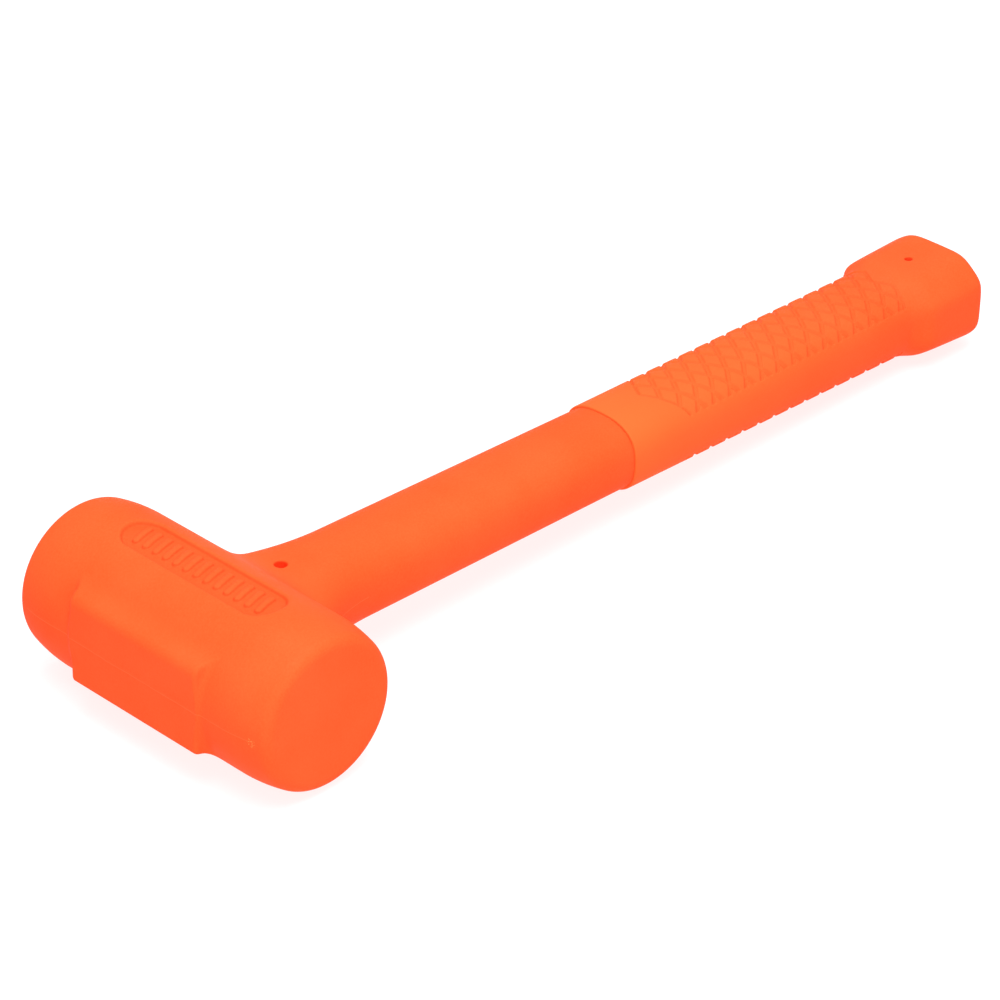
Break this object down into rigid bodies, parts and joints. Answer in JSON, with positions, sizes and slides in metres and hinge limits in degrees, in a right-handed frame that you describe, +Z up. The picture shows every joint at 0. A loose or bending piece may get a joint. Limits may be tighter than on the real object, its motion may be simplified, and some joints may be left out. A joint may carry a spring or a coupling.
{
  "type": "dead blow mallet",
  "caption": "One-hand dead blow mallet: cast elastomer head and handle over a sealed steel canister of loose shot, with a diamond-patterned grip and flared pommel.",
  "frame": {"origin": "middle of the mallet's footprint, on the plane that the drum rests on when the mallet lies flat", "axes": "+X along the handle from head to butt, +Y along the drum's axis, +Z up out of the badge side"},
  "size_m": [0.3562, 0.1082, 0.0524],
  "materials": {
    "jacket_urethane": "satin",
    "grip_urethane": "matte",
    "canister_steel": "satin",
    "cap_steel": "satin",
    "socket_steel": "satin",
    "weld_steel": "rough",
    "tube_steel": "satin",
    "plug_plastic": "matte",
    "shot_steel": "satin"
  },
  "bodies": {
    "mallet": {"jacket": "jacket_urethane", "grip_sleeve": "grip_urethane", "canister_tube": "canister_steel", "canister_cap_front": "cap_steel", "canister_cap_back": "cap_steel", "neck_socket": "socket_steel", "socket_weld": "weld_steel", "handle_tube": "tube_steel", "tube_end_plug": "plug_plastic"},
    "shot_1": {"shot_layer_1": "shot_steel"},
    "shot_2": {"shot_layer_2": "shot_steel"},
    "shot_3": {"shot_layer_3": "shot_steel"},
    "shot_4": {"shot_layer_4": "shot_steel"},
    "shot_5": {"shot_layer_5": "shot_steel"}
  },
  "joints": [
    {"name": "shot_1_slide", "type": "slide", "parent": "mallet", "child": "shot_1", "axis": [0, 1, 0], "range_m": [-0.003, 0.003]},
    {"name": "shot_2_slide", "type": "slide", "parent": "mallet", "child": "shot_2", "axis": [0, 1, 0], "range_m": [-0.003, 0.003]},
    {"name": "shot_3_slide", "type": "slide", "parent": "mallet", "child": "shot_3", "axis": [0, 1, 0], "range_m": [-0.006, 0.006]},
    {"name": "shot_4_slide", "type": "slide", "parent": "mallet", "child": "shot_4", "axis": [0, 1, 0], "range_m": [-0.009, 0.009]},
    {"name": "shot_5_slide", "type": "slide", "parent": "mallet", "child": "shot_5", "axis": [0, 1, 0], "range_m": [-0.0151, 0.0151]}
  ],
  "couplings": [
    {"joint": "shot_1_slide", "follows": "shot_4_slide", "ratio": 0.3333},
    {"joint": "shot_2_slide", "follows": "shot_4_slide", "ratio": 0.3333},
    {"joint": "shot_3_slide", "follows": "shot_4_slide", "ratio": 0.6666},
    {"joint": "shot_5_slide", "follows": "shot_4_slide", "ratio": 1.6777}
  ]
}
